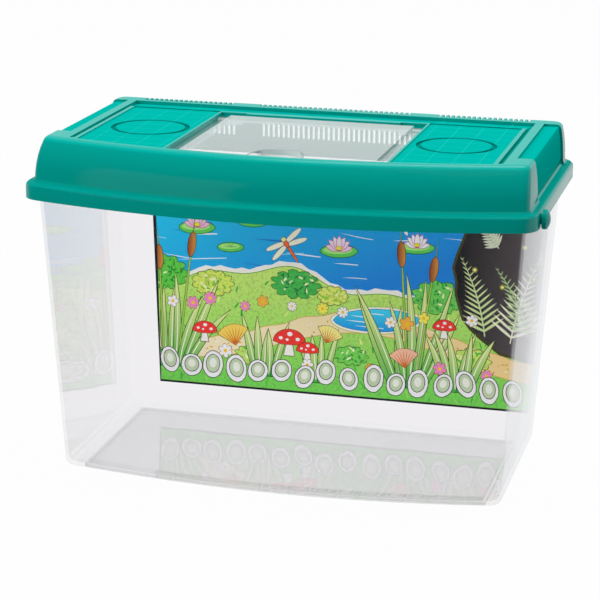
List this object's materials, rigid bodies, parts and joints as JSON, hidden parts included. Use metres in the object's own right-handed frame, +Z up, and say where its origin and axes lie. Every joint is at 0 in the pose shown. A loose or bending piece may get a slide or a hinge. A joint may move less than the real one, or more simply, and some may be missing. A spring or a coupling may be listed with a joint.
{
  "type": "plastic pet keeper",
  "caption": "Clear bowed-front plastic tank with a lift-off moulded lid, a hinged clear hatch, rear vent comb and a printed backdrop.",
  "frame": {"origin": "centre of the base's flat face, midway between the end walls and between the front and rear walls at the tank's ends", "axes": "+X along the tank to the right as seen from the bowed front, +Y from front to back, +Z up"},
  "size_m": [0.3826, 0.2349, 0.2522],
  "materials": {
    "clear_tank": "clear polished moulded polystyrene",
    "printed_sheet": "colour-printed plastic film, satin",
    "teal_lid": "moulded, polished frame with fine-textured panels",
    "clear_hatch": "clear polished moulded polystyrene",
    "teal_peg": "polished"
  },
  "bodies": {
    "tank": {"tank": "clear_tank", "backdrop": "printed_sheet"},
    "lid": {"lid": "teal_lid", "left_peg": "teal_peg", "right_peg": "teal_peg"},
    "hatch": {"hatch_door": "clear_hatch"}
  },
  "joints": [
    {"name": "lid_lift", "type": "slide", "parent": "tank", "child": "lid", "axis": [0, 0, 1], "range_m": [0, 0.12]},
    {"name": "hatch_hinge", "type": "hinge", "parent": "lid", "child": "hatch", "pos_m": [0, 0.03807, 0.2474], "axis": [-1, 0, 0], "range_deg": [0, 110]}
  ]
}
